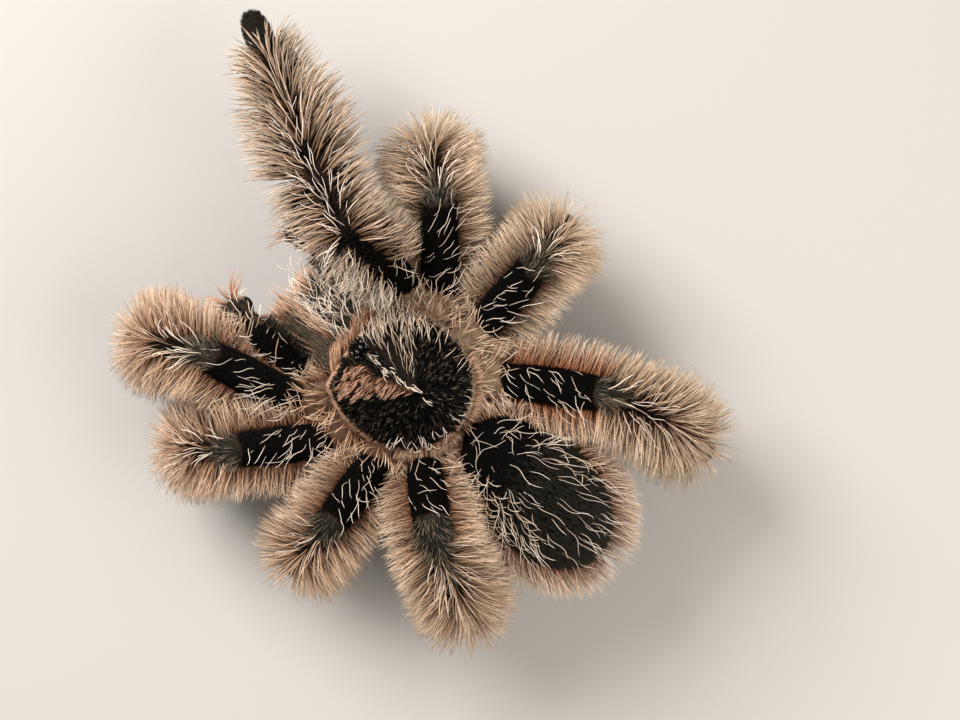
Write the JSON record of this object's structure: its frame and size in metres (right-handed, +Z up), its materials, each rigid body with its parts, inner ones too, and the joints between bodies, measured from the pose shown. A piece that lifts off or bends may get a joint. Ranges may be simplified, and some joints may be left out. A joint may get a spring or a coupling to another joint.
{
  "type": "curly-haired tarantula",
  "caption": "Life-size curly-haired tarantula, standing high on its toes with its right front leg reaching out, as a still museum model.",
  "frame": {"origin": "on the floor, under the middle of the model's bounding box", "axes": "+Z up, the spider's face towards -Y, its left side towards +X"},
  "size_m": [0.0802, 0.1074, 0.0424],
  "materials": {
    "carapace_sheen": "dark bronze plate under short sleek hair, with a dull sheen",
    "eye_gloss": "polished black eyes on a dark mound",
    "chelicera_brown": "bare grey-brown flank under golden hair",
    "fang_black": "smooth black horn",
    "femur_velvet": "deep black velvet with scattered pale curly hairs",
    "knee_dusk": "grey-green short hair under long pale hairs",
    "long_hair": "dense long pale tan hair, curled at the tips",
    "foot_dusk": "short dark olive pile",
    "abdomen_velvet": "black velvet with long pale curly hairs and a tan fringe",
    "underside_brown": "short dark brown pile"
  },
  "bodies": {
    "root": {"carapace": "carapace_sheen", "eye_mound": "eye_gloss", "chelicera_left": "chelicera_brown", "chelicera_right": "chelicera_brown", "fang_left": "fang_black", "fang_right": "fang_black", "leg1_right_femur": "femur_velvet", "leg1_right_patella": "knee_dusk", "leg1_right_tibia": "long_hair", "leg1_right_metatarsus": "long_hair", "leg1_right_tarsus": "foot_dusk", "leg1_left_femur": "femur_velvet", "leg1_left_patella": "knee_dusk", "leg1_left_tibia": "long_hair", "leg1_left_metatarsus": "long_hair", "leg1_left_tarsus": "foot_dusk", "leg2_right_femur": "femur_velvet", "leg2_right_patella": "knee_dusk", "leg2_right_tibia": "long_hair", "leg2_right_metatarsus": "long_hair", "leg2_right_tarsus": "foot_dusk", "leg2_left_femur": "femur_velvet", "leg2_left_patella": "knee_dusk", "leg2_left_tibia": "long_hair", "leg2_left_metatarsus": "long_hair", "leg2_left_tarsus": "foot_dusk", "leg3_right_femur": "femur_velvet", "leg3_right_patella": "knee_dusk", "leg3_right_tibia": "long_hair", "leg3_right_metatarsus": "long_hair", "leg3_right_tarsus": "foot_dusk", "leg3_left_femur": "femur_velvet", "leg3_left_patella": "knee_dusk", "leg3_left_tibia": "long_hair", "leg3_left_metatarsus": "long_hair", "leg3_left_tarsus": "foot_dusk", "leg4_right_femur": "femur_velvet", "leg4_right_patella": "knee_dusk", "leg4_right_tibia": "long_hair", "leg4_right_metatarsus": "long_hair", "leg4_right_tarsus": "foot_dusk", "leg4_left_femur": "femur_velvet", "leg4_left_patella": "knee_dusk", "leg4_left_tibia": "long_hair", "leg4_left_metatarsus": "long_hair", "leg4_left_tarsus": "foot_dusk", "palp_right_femur": "femur_velvet", "palp_right_patella": "knee_dusk", "palp_right_tibia": "long_hair", "palp_right_tarsus": "foot_dusk", "palp_left_femur": "femur_velvet", "palp_left_patella": "knee_dusk", "palp_left_tibia": "long_hair", "palp_left_tarsus": "foot_dusk", "sternum": "underside_brown", "abdomen": "abdomen_velvet", "pedicel": "underside_brown", "spinneret_left": "underside_brown", "spinneret_right": "underside_brown"}
  },
  "joints": []
}
